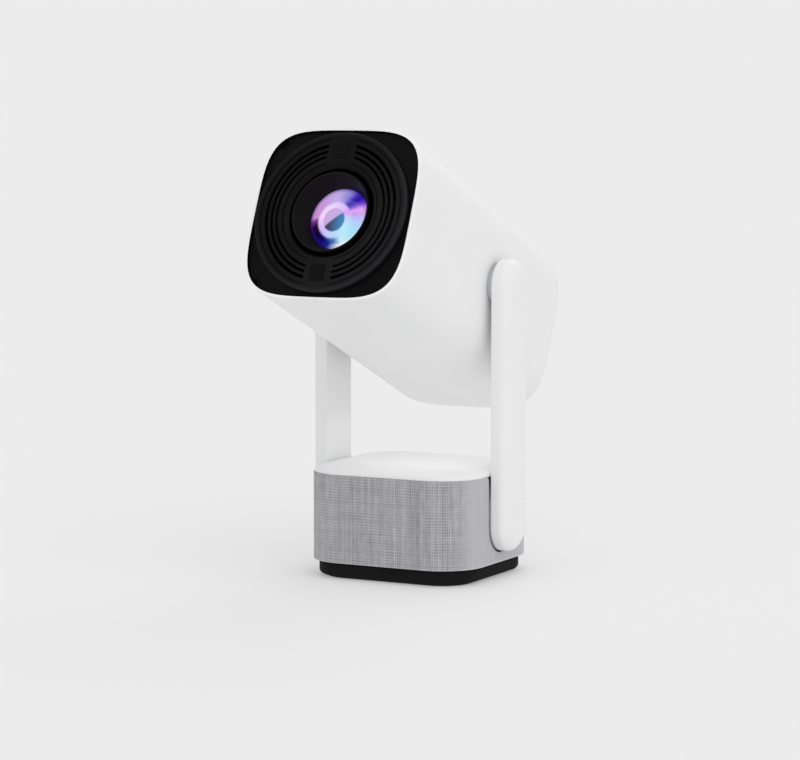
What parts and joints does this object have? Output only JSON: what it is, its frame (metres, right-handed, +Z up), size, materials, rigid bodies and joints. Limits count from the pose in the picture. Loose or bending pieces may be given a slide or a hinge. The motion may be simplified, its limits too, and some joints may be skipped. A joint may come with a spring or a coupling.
{
  "type": "home projector",
  "caption": "Barrel-headed home projector on a two-armed tilting yoke, with a fabric-wrapped speaker base, motor focus lens, fan and rear sockets.",
  "frame": {"origin": "centre of the underside, at the mouth of the tripod thread, on the surface the projector stands on", "axes": "+Z up; the lens faces -Y, tilted up at rest; +X towards the arm with the friction hinge"},
  "size_m": [0.1212, 0.2142, 0.2438],
  "materials": {
    "white_shell": "satin white moulded plastic",
    "white_button": "satin white moulded plastic",
    "black_face": "fine satin black plastic",
    "black_part": "matte black plastic",
    "grey_part": "matte grey plastic",
    "smoked_window": "smoked sensor window",
    "woven_fabric": "grey woven speaker cloth",
    "foot_rubber": "soft black rubber",
    "steel": "zinc-plated steel",
    "bush": "low-friction bearing plastic",
    "brass": "turned brass",
    "aluminium": "extruded, clear anodised",
    "copper_board": "copper core board",
    "circuit_board": "green solder mask",
    "coated_glass": "coated optical glass",
    "clear_glass": "clear optical glass",
    "display_glass": "display panel glass",
    "cone": "pressed speaker cone",
    "lead": "black sheathed lead"
  },
  "bodies": {
    "yoke": {"base_tub": "grey_part", "fabric_wrap": "woven_fabric", "top_cap": "white_shell", "foot": "black_part", "foot_pad": "foot_rubber", "tripod_insert": "brass", "ballast_plate": "steel", "speaker_frame": "steel", "speaker_magnet": "steel", "speaker_cone": "cone", "speaker_board": "circuit_board", "base_screws": "steel", "right_arm_shell": "white_shell", "right_arm_cover": "white_shell", "right_arm_bracket": "steel", "right_pivot_bush": "bush", "left_arm_shell": "white_shell", "left_arm_cover": "white_shell", "left_arm_bracket": "steel", "left_pivot_bush": "bush", "arm_screws": "steel", "yoke_lead": "lead"},
    "head": {"head_shell": "white_shell", "head_chassis": "black_part", "front_bezel": "black_face", "bezel_screws": "steel", "sensor_windows": "smoked_window", "rear_panel": "black_part", "rear_screws": "steel", "hdmi_socket": "steel", "usb_socket": "steel", "audio_socket": "black_part", "power_inlet": "black_part", "right_trunnion": "steel", "left_trunnion": "steel", "right_ring_nut": "steel", "left_ring_nut": "steel", "friction_washer": "steel", "pivot_nut": "steel", "lens_tube": "black_part", "focus_motor": "steel", "engine_housing": "black_part", "display_panel": "display_glass", "front_fresnel": "clear_glass", "rear_fresnel": "clear_glass", "condenser_lens": "clear_glass", "led_module": "copper_board", "heat_sink": "aluminium", "fan_frame": "black_part", "main_board": "circuit_board", "driver_board": "circuit_board", "power_switch": "black_part", "head_lead": "lead"},
    "lens_cell": {"lens_barrel": "black_face", "front_lens": "coated_glass", "rear_lens": "clear_glass"},
    "focus_screw": {"focus_screw": "steel"},
    "fan_impeller": {"fan_impeller": "black_part"},
    "power_button": {"power_button": "white_button"}
  },
  "joints": [
    {"name": "head_tilt", "type": "hinge", "parent": "yoke", "child": "head", "pos_m": [0, 0, 0.1591], "axis": [-1, 0, 0], "range_deg": [-58, 67]},
    {"name": "focus_travel", "type": "slide", "parent": "head", "child": "lens_cell", "axis": [0, -0.9205, 0.3907], "range_m": [-0.003, 0.001]},
    {"name": "focus_drive", "type": "hinge", "parent": "head", "child": "focus_screw", "pos_m": [0.02037, -0.062, 0.20754], "axis": [0, -0.9205, 0.3907], "range_deg": [-1140, 420]},
    {"name": "fan_spin", "type": "hinge", "parent": "head", "child": "fan_impeller", "pos_m": [0, 0.06678, 0.13727], "axis": [0, -0.9205, 0.3907], "continuous": true},
    {"name": "power_press", "type": "slide", "parent": "head", "child": "power_button", "axis": [0, -0.3907, -0.9205], "range_m": [0, 0.0008], "stiffness_N_per_m": 500, "springref_m": -0.0015}
  ],
  "couplings": [
    {"joint": "focus_drive", "follows": "focus_travel", "rad_per_m": 6283.2}
  ]
}
